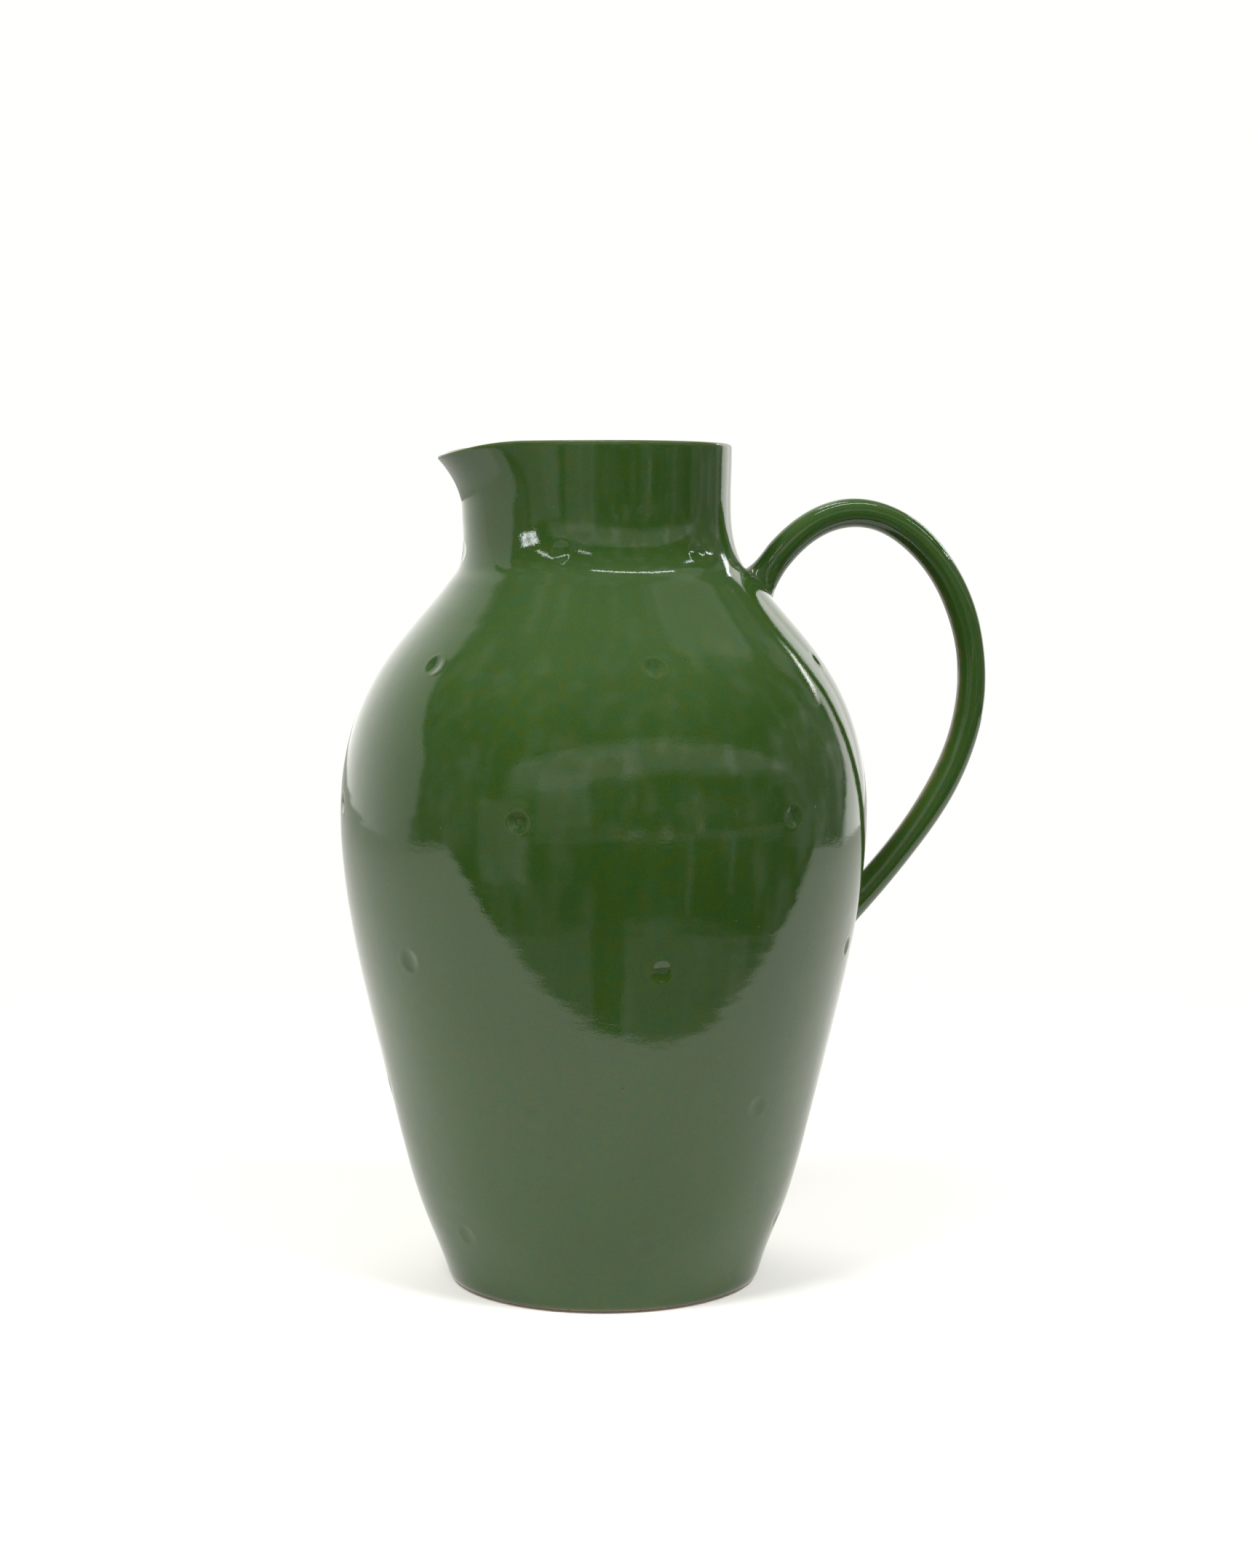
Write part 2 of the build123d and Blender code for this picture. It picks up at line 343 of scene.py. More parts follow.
def inside_levels(floor, wide):
    """Heights of the rings in the hollow, close together in the curve above the floor."""
    curve = floor + FLOOR_ROUNDING * (1 - np.cos(np.linspace(0, pi / 2, 13)))
    above = np.linspace(curve[-1], LINER_TOP, int((LINER_TOP - curve[-1]) / wide))
    return np.concatenate([curve, above[1:]])


# ---- From points to a Blender mesh -----------------------------------------------------------------
def ring_faces(rows, columns, closed):
    """Four-cornered faces between neighbouring rings; closed joins the last ring to the first."""
    row = np.arange(rows if closed else rows - 1)[:, None]
    column = np.arange(columns)[None, :]
    after = (row + 1) % rows
    right = (column + 1) % columns
    corners = [(row, column), (row, right), (after, right), (after, column)]
    corners = np.broadcast_arrays(*(r * columns + c for r, c in corners))
    return np.stack(corners, -1).reshape(-1, 4).tolist()


def pole_faces(first, columns, pole, upward):
    """A fan of triangles between a ring and the point in its middle."""
    fan = [(first + i, first + (i + 1) % columns, pole) for i in range(columns)]
    return fan if upward else [face[::-1] for face in fan]


def closed_stack(points, columns, low_pole, high_pole):
    """Points and faces of a stack of rings whose two ends are closed by a fan."""
    count = len(points)
    faces = ring_faces(count // columns, columns, False)
    faces += pole_faces(0, columns, count, False)
    faces += pole_faces(count - columns, columns, count + 1, True)
    return np.vstack([points, [low_pole, high_pole]]), faces


def piece(name, points, faces, material, node, thin=None, pool=None):
    """A finished piece that stands for a CAD node."""
    mesh = bpy.data.meshes.new(name)
    mesh.from_pydata((np.asarray(points) * MM + np.array([0, 0, foot_low.z])).tolist(), [], faces)
    for label, values in (("thin", thin), ("pool", pool)):
        if values is None:
            values = np.zeros(len(points))
        attribute = mesh.attributes.new(label, "FLOAT", "POINT")
        attribute.data.foreach_set("value", np.asarray(values, float))
    mesh.shade_smooth()
    mesh.materials.append(material)
    mesh.validate()
    mesh.update()
    made = bpy.data.objects.new(name, mesh)
    bpy.context.scene.collection.objects.link(made)
    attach(made, "root")
    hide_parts(node)


# ---- Shader building -------------------------------------------------------------------------------
DEGREES = 180 / pi


class Value:
    """A number inside a shader, which can be added, multiplied and compared like any other."""

    def __init__(self, tree, socket):
        self.tree, self.socket = tree, socket

    def _math(self, operation, *others, clamp=False):
        node = self.tree.nodes.new("ShaderNodeMath")
        node.operation, node.use_clamp = operation, clamp
        for index, other in enumerate((self, *others)):
            if isinstance(other, Value):
                self.tree.links.new(other.socket, node.inputs[index])
            else:
                node.inputs[index].default_value = float(other)
        return Value(self.tree, node.outputs[0])

    def __add__(self, other):
        return self._math("ADD", other)

    __radd__ = __add__

    def __mul__(self, other):
        return self._math("MULTIPLY", other)

    __rmul__ = __mul__

    def __sub__(self, other):
        return self._math("SUBTRACT", other)

    def __rsub__(self, other):
        return self * -1 + other

    def above(self, other, soft=0.0):
        """1 where this is above the other, 0 below it, with an edge `soft` wide."""
        if not soft:
            return self._math("GREATER_THAN", other)
        return (self - other)._math("MULTIPLY_ADD", 1 / soft, 0.5, clamp=True)

    def below(self, other, soft=0.0):
        return 1 - self.above(other, soft)

    def at_least(self, other):
        return self._math("MAXIMUM", other)

    def at_most(self, other):
        return self._math("MINIMUM", other)

    def power(self, other):
        return self._math("POWER", other)

    def absolute(self):
        return self._math("ABSOLUTE")

    def degrees_from(self, other):
        """Angle of the direction whose parts are this and the other, from the other's axis."""
        return self._math("ARCTAN2", other) * DEGREES

    def arcsine(self):
        return self._math("ARCSINE") * DEGREES


class Tree:
    """Shorthand for the nodes that the materials and the surroundings share."""

    def __init__(self, tree):
        self.tree = tree
        tree.nodes.clear()

    def node(self, kind, **settings):
        made = self.tree.nodes.new(kind)
        for key, value in settings.items():
            setattr(made, key, value)
        return made

    def set(self, node, key, value):
        socket = node.inputs[key]
        if isinstance(value, Value):
            self.tree.links.new(value.socket, socket)
        elif isinstance(value, bpy.types.NodeSocket):
            self.tree.links.new(value, socket)
        else:
            socket.default_value = value
        return node

    def value(self, socket):
        return Value(self.tree, socket)

    def noise(self, scale, detail=2.0, roughness=0.5, stretch=(1, 1, 1), shift=(0, 0, 0), where=None):
        """Noise of about 0 to 1 with this many blobs to the metre."""
        place = self.node("ShaderNodeMapping")
        source = where or self.node("ShaderNodeTexCoord").outputs["Object"]
        self.set(place, "Vector", source)
        self.set(place, "Scale", stretch)
        self.set(place, "Location", shift)
        texture = self.node("ShaderNodeTexNoise")
        self.set(texture, "Vector", place.outputs[0])
        self.set(texture, "Scale", scale)
        self.set(texture, "Detail", detail)
        self.set(texture, "Roughness", roughness)
        return self.value(texture.outputs["Fac"])

    def spread(self, value, low, high):
        """Stretches the part of value between low and high to 0 to 1."""
        node = self.node("ShaderNodeMapRange")
        for key, number in (("Value", value), ("From Min", low), ("From Max", high)):
            self.set(node, key, number)
        return self.value(node.outputs[0])

    def mix(self, share, first, second, blend="MIX"):
        node = self.node("ShaderNodeMix", data_type="RGBA", blend_type=blend)
        self.set(node, "Factor", share)
        for key, colour in ((6, first), (7, second)):
            self.set(node, key, (*colour, 1) if isinstance(colour, tuple) else colour)
        return node.outputs[2]

    def attribute(self, name):
        return self.value(self.node("ShaderNodeAttribute", attribute_name=name).outputs["Fac"])

    def bump(self, height, distance, under=None):
        node = self.node("ShaderNodeBump")
        self.set(node, "Height", height)
        self.set(node, "Distance", distance)
        self.set(node, "Strength", 1.0)
        if under is not None:
            self.set(node, "Normal", under)
        return node.outputs[0]


def new_material(name):
    material = bpy.data.materials.new(name)
    material.use_nodes = True
    return material, Tree(material.node_tree)


def finish_material(tree, colour, roughness, normal, **more):
    shader = tree.node("ShaderNodeBsdfPrincipled")
    tree.set(shader, "Base Color", colour)
    tree.set(shader, "Roughness", roughness)
    tree.set(shader, "Normal", normal)
    for key, value in more.items():
        tree.set(shader, key.replace("_", " "), value)
    out = tree.node("ShaderNodeOutputMaterial")
    tree.set(out, "Surface", shader.outputs[0])


# ---- Materials -------------------------------------------------------------------------------------
# Noise scales are in blobs to the metre, bump depths in metres.
DEEP_GREEN = (0.022, 0.058, 0.0075)
YELLOW_GREEN = (0.035, 0.070, 0.0080)
BLUE_GREEN = (0.025, 0.070, 0.0140)
POOLED = (0.016, 0.039, 0.007)
THIN_AND_REFLECTED_BROWN = (0.150, 0.110, 0.060)  # where the glaze is so thin that the clay browns it, and on the handle's inner side a painted reflection of the body
PIT_GREEN = (0.012, 0.03, 0.006)
CLAY_DARK, CLAY_LIGHT, IRON = (0.36, 0.25, 0.15), (0.50, 0.38, 0.25), (0.12, 0.06, 0.03)
GLASS_IOR = 1.52
GLOSS, GRAIN_DULL, SMEAR_DULL, THIN_DULL = 0.018, 0.012, 0.05, 0.05  # parts of the roughness
RIPPLE_DEPTH, GRAIN_DEPTH, PIT_DEPTH = 0.00010, 0.000016, 0.00008
GRIT_DEPTH, LUMP_DEPTH = 0.00012, 0.0002


def cells(tree, scale):
    """Distance to the nearest of scattered points, for pinholes and specks."""
    made = tree.node("ShaderNodeTexVoronoi")
    tree.set(made, "Vector", tree.node("ShaderNodeTexCoord").outputs["Object"])
    tree.set(made, "Scale", scale)
    return tree.value(made.outputs["Distance"])


def green_glaze(name, shade=1.0):
    """Glossy green glass: blotched green, darker where it pooled, brown where it ran thin, and brown as a
    painted reflection of the body on the handle's inner side.
    """
    material, tree = new_material(name)
    blotches = tree.spread(tree.noise(230, 4, 0.6), 0.38, 0.62)
    clouds = tree.spread(tree.noise(16, 3, 0.5, shift=(3.1, 0.4, 2.2)), 0.35, 0.65)
    grain = tree.noise(1500, 2, 0.6)
    runs = tree.noise(60, 3, 0.6, stretch=(1, 1, 0.08), shift=(0.7, 1.9, 0))
    colour = tree.mix(blotches, YELLOW_GREEN, BLUE_GREEN)
    colour = tree.mix(clouds * 0.6, colour, DEEP_GREEN)
    light = (0.72 + grain * 0.38 + runs * 0.12) * shade
    grey = tree.node("ShaderNodeCombineColor")
    for channel in ("Red", "Green", "Blue"):
        tree.set(grey, channel, light)
    colour = tree.mix(1.0, colour, grey.outputs[0], "MULTIPLY")
    colour = tree.mix(tree.attribute("pool") * 0.55, colour, POOLED)
    # Brown where the glaze ran thin; on the handle's inner side the same brown is a painted reflection of
    # the body.
    browned_and_body_reflection = tree.attribute("thin") * 0.6 * (0.35 + 0.65 * tree.spread(tree.noise(300, 3), 0.35, 0.6))
    colour = tree.mix(browned_and_body_reflection, colour, THIN_AND_REFLECTED_BROWN)
    pit = cells(tree, 95.0).below(0.028, 0.02)
    colour = tree.mix(pit * 0.6, colour, PIT_GREEN)
    smears = tree.spread(tree.noise(34, 4, 0.7, stretch=(1, 1, 0.4), shift=(5.2, 1, 7)), 0.55, 0.8)
    roughness = GLOSS + grain * GRAIN_DULL + smears * SMEAR_DULL + tree.attribute("thin") * THIN_DULL
    ripple = tree.bump(tree.noise(95, 2, 0.4, stretch=(0.7, 0.7, 1.5)), RIPPLE_DEPTH)
    skin = tree.bump(grain, GRAIN_DEPTH, ripple)
    normal = tree.bump(pit * -1, PIT_DEPTH, skin)
    finish_material(tree, colour, roughness, normal, IOR=GLASS_IOR)
    return material


def bare_clay():
    """Fired stoneware: warm buff, gritty, with iron specks."""
    material, tree = new_material("stoneware_clay")
    tone = tree.spread(tree.noise(55, 4, 0.6), 0.3, 0.7)
    colour = tree.mix(tone, CLAY_DARK, CLAY_LIGHT)
    speck = cells(tree, 420.0).below(0.16, 0.06)
    colour = tree.mix(speck * 0.7, colour, IRON)
    grit = tree.noise(2200, 3, 0.7)
    normal = tree.bump(grit, GRIT_DEPTH, tree.bump(tree.noise(260, 2), LUMP_DEPTH))
    finish_material(tree, colour, 0.82 + grit * 0.14, normal)
    return material


glaze_material = green_glaze("green_glaze")
LINER_SHADE = 0.8
liner_material = green_glaze("liner_glaze", LINER_SHADE)
clay_material = bare_clay()

# ---- Body: outer glaze, clay and liner glaze -------------------------------------------------------
FINE = column_angles(36, crowding=0.80)
COARSE = column_angles(18, crowding=0.72)
CLOSE_ROWS, WIDE_ROWS = 0.36, 1.5  # row spacing on the seen surface, at the dimples and between them
HIDDEN_CLOSE, HIDDEN_WIDE = 0.8, 4.0  # and on surfaces under the glaze
BEAD_STEPS, RIM_STEPS, NECK_STEPS = 4, 8, 6
HIDDEN_RIM_STEPS, HIDDEN_NECK_STEPS = 4, 3
hidden_levels = outer_levels(HIDDEN_CLOSE, HIDDEN_WIDE)
glazed_from = GLAZE_LINE + GLAZE


def hidden_side(rings, levels):
    """The surface where glaze and clay meet, from the lowest level over the rim and into the neck."""
    up_the_outside(rings, levels, GLAZE, GLAZE, CLAY_ROUNDING)
    over_the_rim(rings, GLAZE, GLAZE, CLAY_ROUNDING, HIDDEN_RIM_STEPS)
    down_the_neck(rings, GLAZE, GLAZE, CLAY_ROUNDING, HIDDEN_NECK_STEPS)


front = Rings(FINE)
for step in range(BEAD_STEPS, 0, -1):
    turn = pi / 2 * step / BEAD_STEPS
    bead_level = GLAZE_LINE + GLAZE / 2 * (1 - sin(turn))
    front.outer(np.array([[bead_level]]), GLAZE / 2 * (1 - cos(turn)))
levels = outer_levels(CLOSE_ROWS, WIDE_ROWS)
up_the_outside(front, levels[levels > glazed_from], 0.0, 0.0, LIP_ROUNDING)
over_the_rim(front, 0.0, 0.0, LIP_ROUNDING, RIM_STEPS)
down_the_neck(front, 0.0, 0.0, LIP_ROUNDING, NECK_STEPS)
back = Rings(FINE)
hidden_side(back, hidden_levels[hidden_levels > glazed_from])
rows = np.array(front.rows + back.rows[::-1])
piece(
    "outer_glaze_coat", rows.reshape(-1, 3), ring_faces(len(rows), len(FINE), True), glaze_material,
    "outer_glaze", np.array(front.thin + back.thin[::-1]).ravel(),
    np.array(front.pool + back.pool[::-1]).ravel(),
)

# The underside carries the faint arcs that a cutting wire leaves.
WIRE_CENTRE, WIRE_PITCH, WIRE_DEPTH = (90, -30), 0.9, 0.14
UNDERSIDE_RINGS, INNERMOST = 30, 2.5
FLOOR_RINGS, FLOOR_MIDDLE = 8, 4
clay = Rings(COARSE)
foot_edge = outline_radius(0.0) - GLAZE - FOOT_ROUNDING
for radius in np.linspace(INNERMOST, foot_edge, UNDERSIDE_RINGS):
    x, y = radius * np.cos(COARSE) - WIRE_CENTRE[0], radius * np.sin(COARSE) - WIRE_CENTRE[1]
    wire = 0.5 + 0.5 * np.sin(np.hypot(x, y) / WIRE_PITCH)
    clay.add(radius, WIRE_DEPTH * wire * (1 - smooth_step(radius, foot_edge - 5, foot_edge - 1)))
foot_levels = FOOT_ROUNDING * (1 - np.cos(np.linspace(0.15, pi / 2, 7)[:-1]))
clay_levels = np.unique(np.concatenate([foot_levels, hidden_levels[hidden_levels > 0.01]]))
hidden_side(clay, clay_levels)
for level in inside_levels(CLAY_FLOOR, wide=6.0)[::-1][1:]:
    clay.add(inside_radius(COARSE, level, GLAZE), level)
floor_edge = float(inside_radius(0.0, CLAY_FLOOR, GLAZE))
for radius in np.linspace(floor_edge, FLOOR_MIDDLE, FLOOR_RINGS)[1:]:
    clay.add(radius, CLAY_FLOOR)
points, faces = closed_stack(
    np.array(clay.rows).reshape(-1, 3), len(COARSE), (0, 0, WIRE_DEPTH / 2), (0, 0, CLAY_FLOOR)
)
piece("clay_body_bare", points, faces, clay_material, "clay_body")

liner = Rings(COARSE)
for radius in np.linspace(FLOOR_MIDDLE, floor_edge - 0.5, 12):
    liner.add(radius, FLOOR_LEVEL)
for level in inside_levels(FLOOR_LEVEL, wide=3.0)[1:]:
    liner.add(inside_radius(COARSE, level, 0.0), level)
for level in inside_levels(CLAY_FLOOR, wide=6.0)[::-1]:
    liner.add(inside_radius(COARSE, level, GLAZE), level)
for radius in np.linspace(floor_edge, FLOOR_MIDDLE, FLOOR_RINGS)[1:]:
    liner.add(radius, CLAY_FLOOR)
points, faces = closed_stack(
    np.array(liner.rows).reshape(-1, 3), len(COARSE), (0, 0, FLOOR_LEVEL), (0, 0, CLAY_FLOOR)
)
pools = 0.6 * smooth_step(-points[:, 2], -16, -7)  # the liner pooled on the floor
piece(
    "inner_glaze_liner", points, [face[::-1] for face in faces], liner_material,
    "inner_glaze", None, pools,
)

# ---- Handle ----------------------------------------------------------------------------------------
ROUND = 72  # points round the coil
PHI = 2 * pi * np.arange(ROUND) / ROUND
FLARE = 4.5  # how far the smoothed root spreads over the body
CLIMB = 9.0  # how far it climbs the handle
COIL_UNEVEN, COIL_RIPPLE = 0.10, 0.06
HALVINGS = 40
HANDLE_LENGTH = np.sum(np.hypot(*np.diff(bezier(HANDLE, np.linspace(0, 1, 400)), axis=1)))


def tube_point(t, phi, radius):
    """Point on the coil at t along its centre line; phi 0 faces away from the body."""
    step = 1e-4
    x, z = bezier(HANDLE, t)
    dx, dz = bezier(HANDLE, t + step) - bezier(HANDLE, t - step)
    length = np.hypot(dx, dz)
    out, side = radius * np.cos(phi), radius * np.sin(phi)
    return np.stack([x - out * dz / length, side * np.ones_like(x), z + out * dx / length], -1)


def on_body(points, sunk):
    """Moves points radially on to the body's outer surface, then sinks them."""
    angle = np.arctan2(points[..., 1], points[..., 0])
    level = points[..., 2]
    radius = body_radius(angle, level)
    skin = np.stack([radius * np.cos(angle), radius * np.sin(angle), level], -1)
    return skin - sunk * outward(angle, level)


def coil_radius(t, radius):
    """The pulled coil isn't quite even along its length."""
    return radius + COIL_UNEVEN * np.sin(19 * t + 0.7) + COIL_RIPPLE * np.sin(43 * t)


def root(inside, outside, radius, sunk, steps):
    """The flared root: rows from the body's surface to the coil, and where on the coil they end."""
    low, high = np.full(ROUND, float(inside)), np.full(ROUND, float(outside))
    for _ in range(HALVINGS):
        middle = (low + high) / 2
        point = tube_point(middle, PHI, radius)
        angle = np.arctan2(point[:, 1], point[:, 0])
        within = np.hypot(point[:, 0], point[:, 1]) < body_radius(angle, point[:, 2])
        low, high = np.where(within, middle, low), np.where(within, high, middle)
    away = 1 if outside > inside else -1
    start = high + away * CLIMB / HANDLE_LENGTH
    on_coil = tube_point(start, PHI, coil_radius(start, radius))
    corner = tube_point(high, PHI, radius)
    centre = tube_point(high, PHI, 0)
    angle = np.arctan2(corner[:, 1], corner[:, 0])
    normal = outward(angle, corner[:, 2])
    spread = corner - centre
    spread = spread - (spread * normal).sum(-1, keepdims=True) * normal
    spread = spread / np.linalg.norm(spread, axis=-1, keepdims=True)
    on_skin = on_body(corner + FLARE * spread, sunk)
    rows = []
    for step in range(steps + 1):
        s = step / steps
        rows.append((1 - s) ** 2 * on_skin + 2 * s * (1 - s) * corner + s * s * on_coil)
    return rows, start


# Where each root is looked for: just inside the body, and well out on the coil.
UPPER_ROOT, LOWER_ROOT = (0.0, 0.2), (1.0, 0.8)


def handle_rows(radius, sunk, along, steps):
    """Rows from the upper root along the coil to the lower root."""
    upper, top = root(*UPPER_ROOT, radius, sunk, steps)
    lower, bottom = root(*LOWER_ROOT, radius, sunk, steps)
    rows = list(upper)
    for step in range(1, along):
        t = top + (bottom - top) * step / along
        rows.append(tube_point(t, PHI, coil_radius(t, radius)))
    return rows + lower[::-1]


coat = handle_rows(HANDLE_RADIUS, sunk=0.15, along=260, steps=22)
inside = handle_rows(HANDLE_RADIUS - GLAZE, sunk=0.5, along=60, steps=6)
rows = np.array(coat + inside[::-1])
thin_and_body_reflection = 0.8 * smooth_step(-np.cos(PHI), 0.80, 0.93)  # the glaze ran thin on the coil's inside; the brown this gives there is also a painted reflection of the body
piece(
    "handle_glaze_coat", rows.reshape(-1, 3), ring_faces(len(rows), ROUND, True), glaze_material,
    "handle_glaze",
    np.concatenate([np.tile(thin_and_body_reflection, len(coat)), np.zeros(ROUND * len(inside))]),
)

CLAY_COIL = HANDLE_RADIUS - GLAZE
JOINT_SHELL = 0.3  # the slip lies this thick round the coil's ends
core = []
for t in np.linspace(0.03, 0.97, 120):
    core.append(tube_point(np.full(ROUND, t), PHI, coil_radius(t, CLAY_COIL - JOINT_SHELL)))
points, faces = closed_stack(
    np.array(core).reshape(-1, 3), ROUND, core[0].mean(axis=0), core[-1].mean(axis=0)
)
piece("handle_coil", points, faces, clay_material, "handle")
for name, ends in (("upper_handle_joint", UPPER_ROOT), ("lower_handle_joint", LOWER_ROOT)):
    outer_rows = root(*ends, CLAY_COIL, sunk=0.9, steps=12)[0]
    inner_rows = root(*ends, CLAY_COIL - JOINT_SHELL, sunk=1.6, steps=6)[0]
    rows = np.array(outer_rows + inner_rows[::-1])
    piece(
        name + "_slip", rows.reshape(-1, 3), ring_faces(len(rows), ROUND, True), clay_material,
        name,
    )

# ---- Outward faces ---------------------------------------------------------------------------------
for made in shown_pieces():
    mesh = made.data
    mesh.calc_loop_triangles()
    corners = np.zeros(len(mesh.vertices) * 3, np.float32)
    mesh.vertices.foreach_get("co", corners)
    triangles = np.zeros(len(mesh.loop_triangles) * 3, np.int32)
    mesh.loop_triangles.foreach_get("vertices", triangles)
    a, b, c = corners.reshape(-1, 3)[triangles.reshape(-1, 3)].transpose(1, 0, 2).astype(float)
    if np.einsum("ij,ij->i", a, np.cross(b, c)).sum() < 0:
        mesh.flip_normals()

# ---- Floor -----------------------------------------------------------------------------------------
CAMERA_TURN = radians(12.5)  # the camera stands this far round from -Y, on the spout's side
TABLE_FRONT, TABLE_LEFT, TABLE_RIGHT = -0.227, -1.29, 1.19  # where the table ends in reflections
CORNER_CUT, CORNER_TURN = 0.224, radians(7.3)  # its front right corner is cut back a little
FLOOR_SIDE = 6.0
FADE_START, FADE_END = 0.22, 0.75  # from here to there the floor turns into the plain backdrop
FLOOR_GLOW = 0.06  # the overexposed paper looks lighter to the camera than it lights the pitcher
TABLE_WHITE, GLOW_WHITE, BACKDROP = (0.90, 0.888, 0.860, 1), (1.0, 0.985, 0.975, 1), (1.0, 1.0, 0.985, 1)
floor_mesh = bpy.data.meshes.new("floor")
corners = [(-1, -1), (1, -1), (1, 1), (-1, 1)]
corners = [(x * FLOOR_SIDE, y * FLOOR_SIDE, 0) for x, y in corners]
floor_mesh.from_pydata(corners, [], [(0, 1, 2, 3)])
floor = bpy.data.objects.new("floor", floor_mesh)
floor.location.z = foot_low.z
bpy.context.scene.collection.objects.link(floor)
material, tree = new_material("floor")
shader = tree.node("ShaderNodeBsdfPrincipled")
tree.set(shader, "Base Color", TABLE_WHITE)
tree.set(shader, "Roughness", 0.9)
tree.set(shader, "Specular IOR Level", 0.1)
place = tree.node("ShaderNodeNewGeometry").outputs["Position"]
split = tree.node("ShaderNodeSeparateXYZ")
tree.set(split, 0, place)
floor_x, floor_y = tree.value(split.outputs["X"]), tree.value(split.outputs["Y"])
seen = tree.value(tree.node("ShaderNodeLightPath").outputs["Is Camera Ray"])
off_table = floor_y.below(TABLE_FRONT, 0.003)
past_corner = floor_x * sin(CORNER_TURN) - floor_y * cos(CORNER_TURN)
off_table = off_table.at_least(past_corner.above(CORNER_CUT, 0.003))
off_table = off_table.at_least(floor_x.above(TABLE_RIGHT, 0.01))
off_table = off_table.at_least(floor_x.below(TABLE_LEFT, 0.01))
plain = tree.node("ShaderNodeEmission")
tree.set(plain, "Color", BACKDROP)
glow = tree.node("ShaderNodeEmission")
tree.set(glow, "Color", GLOW_WHITE)
tree.set(glow, "Strength", seen * FLOOR_GLOW)
lit_paper = tree.node("ShaderNodeAddShader")
tree.set(lit_paper, 0, shader.outputs[0])
tree.set(lit_paper, 1, glow.outputs[0])
away = (floor_x * floor_x + floor_y * floor_y).power(0.5)
fading = tree.spread(away, FADE_START, FADE_END) * seen
paper = tree.node("ShaderNodeMixShader")
tree.set(paper, 0, fading)
tree.set(paper, 1, lit_paper.outputs[0])
tree.set(paper, 2, plain.outputs[0])
both = tree.node("ShaderNodeMixShader")
tree.set(both, 0, off_table * (1 - seen))
tree.set(both, 1, paper.outputs[0])
tree.set(both, 2, tree.node("ShaderNodeBsdfTransparent").outputs[0])
tree.set(tree.node("ShaderNodeOutputMaterial"), "Surface", both.outputs[0])
floor_mesh.materials.append(material)

# ---- Surroundings ----------------------------------------------------------------------------------
# Seen directly the room is plain and pale. Mirrored in the glaze it is a white sweep at the sides and
# behind, a dark room in front, a brighter ceiling and a few lamps. All directions are in degrees: the
# azimuth from where the camera stands, growing to the picture's right, and the elevation.
world = bpy.data.worlds.new("studio")
bpy.context.scene.world = world
world.use_nodes = True
tree = Tree(world.node_tree)
direction = tree.node("ShaderNodeTexCoord").outputs["Generated"]
turned = tree.node("ShaderNodeVectorRotate", rotation_type="Z_AXIS")
tree.set(turned, "Vector", direction)
tree.set(turned, "Angle", CAMERA_TURN)
split = tree.node("ShaderNodeSeparateXYZ")
tree.set(split, 0, turned.outputs[0])
right, ahead, up = (tree.value(split.outputs[i]) for i in range(3))
azimuth = right.degrees_from(ahead * -1)
elevation = up.arcsine()


def towards(az, el):
    """Unit vector, in the camera's own frame, to something at this azimuth and elevation."""
    az, el = radians(az), radians(el)
    return Vector((sin(az) * cos(el), -cos(az) * cos(el), sin(el)))


def dot(vector):
    return right * vector.x + ahead * vector.y + up * vector.z


def disc(az, el, radius, soft):
    """1 inside a round patch of the surroundings."""
    return dot(towards(az, el)).above(cos(radians(radius)), soft)


def bar(first, second, width):
    """1 along a straight tube between two directions, `width` degrees across."""
    a, b = towards(*first), towards(*second)
    middle = (a + b).normalized()
    across = dot(a.cross(b).normalized()).absolute().below(sin(radians(width / 2)), 0.004)
    return across * dot(middle).above(middle.dot(a), 0.01)


def patch(az0, az1, el0, el1, soft=1.5):
    """1 in a soft-edged box of the surroundings."""
    wide = azimuth.above(az0, soft) * azimuth.below(az1, soft)
    return wide * elevation.above(el0, soft) * elevation.below(el1, soft)


# White paper sweep at both sides and behind. It begins PAPER_EDGE degrees from the room's middle, farther
# out above, and brightens towards the back; one sheet at the right is brighter than the rest.
ROOM_MIDDLE, PAPER_EDGE = 21.5, 108.5
low = (1 - elevation).at_least(0)
off_left = (azimuth - ROOM_MIDDLE) * -1 - (elevation - 14).at_least(0) * 1.0 - low.at_most(9) * 0.7
off_right = (azimuth - ROOM_MIDDLE) - (elevation - 20).at_least(0) * 1.2 + low.at_most(9) * 0.8 - 2
beside = off_left.at_least(off_right)
sides = beside.above(PAPER_EDGE, 1.2)
bright_sheet = azimuth.above(128, 3) * azimuth.below(152, 4)
sweep = 1.05 + tree.spread(beside, 112, 170) * 0.75 + bright_sheet * 0.8

# The room in front of the pitcher, as dim as the glaze shows it: patches of light on the dark.
arch_height = 31 - (azimuth - 18) * (azimuth - 18) * 0.0042
arch = elevation.below(arch_height, 2.5) * elevation.above(16 - (azimuth - 30).absolute() * 0.12, 5)
arch = arch * azimuth.above(-42, 6) * azimuth.below(88, 6)
shapes = tree.noise(7.0, 3, 0.6, stretch=(1, 1, 0.7), where=direction)
clutter = tree.spread(shapes, 0.48, 0.66)
fine = tree.spread(tree.noise(26.0, 2, 0.6, stretch=(1, 1, 0.5), where=direction), 0.60, 0.68)
room = 0.05 + clutter * 0.32
room = room + arch * (0.60 + clutter * 0.35)
room = room + patch(-105, -57, -8, 24, 3) * 0.30 * (0.5 + fine)
room = room + patch(-55, -32, -17, 6, 2) * 0.38
room = room + patch(84, 128, -8, 24, 3) * 0.42 * (0.4 + fine)
room = room + patch(-80, 100, -40, -24, 3) * 0.34
room = room + patch(-28, -6, -4, 16, 2) * 0.38
room = room + patch(8, 80, -3, 8, 1) * fine * 0.70
room = room + patch(-30, 82, -6.5, -5, 0.6) * 0.38
dark_parts = patch(-5, 9.5, -36, -6, 1).at_least(patch(9, 62, -23, -8, 2) * 0.75)
room = room * (1 - dark_parts * 0.85)
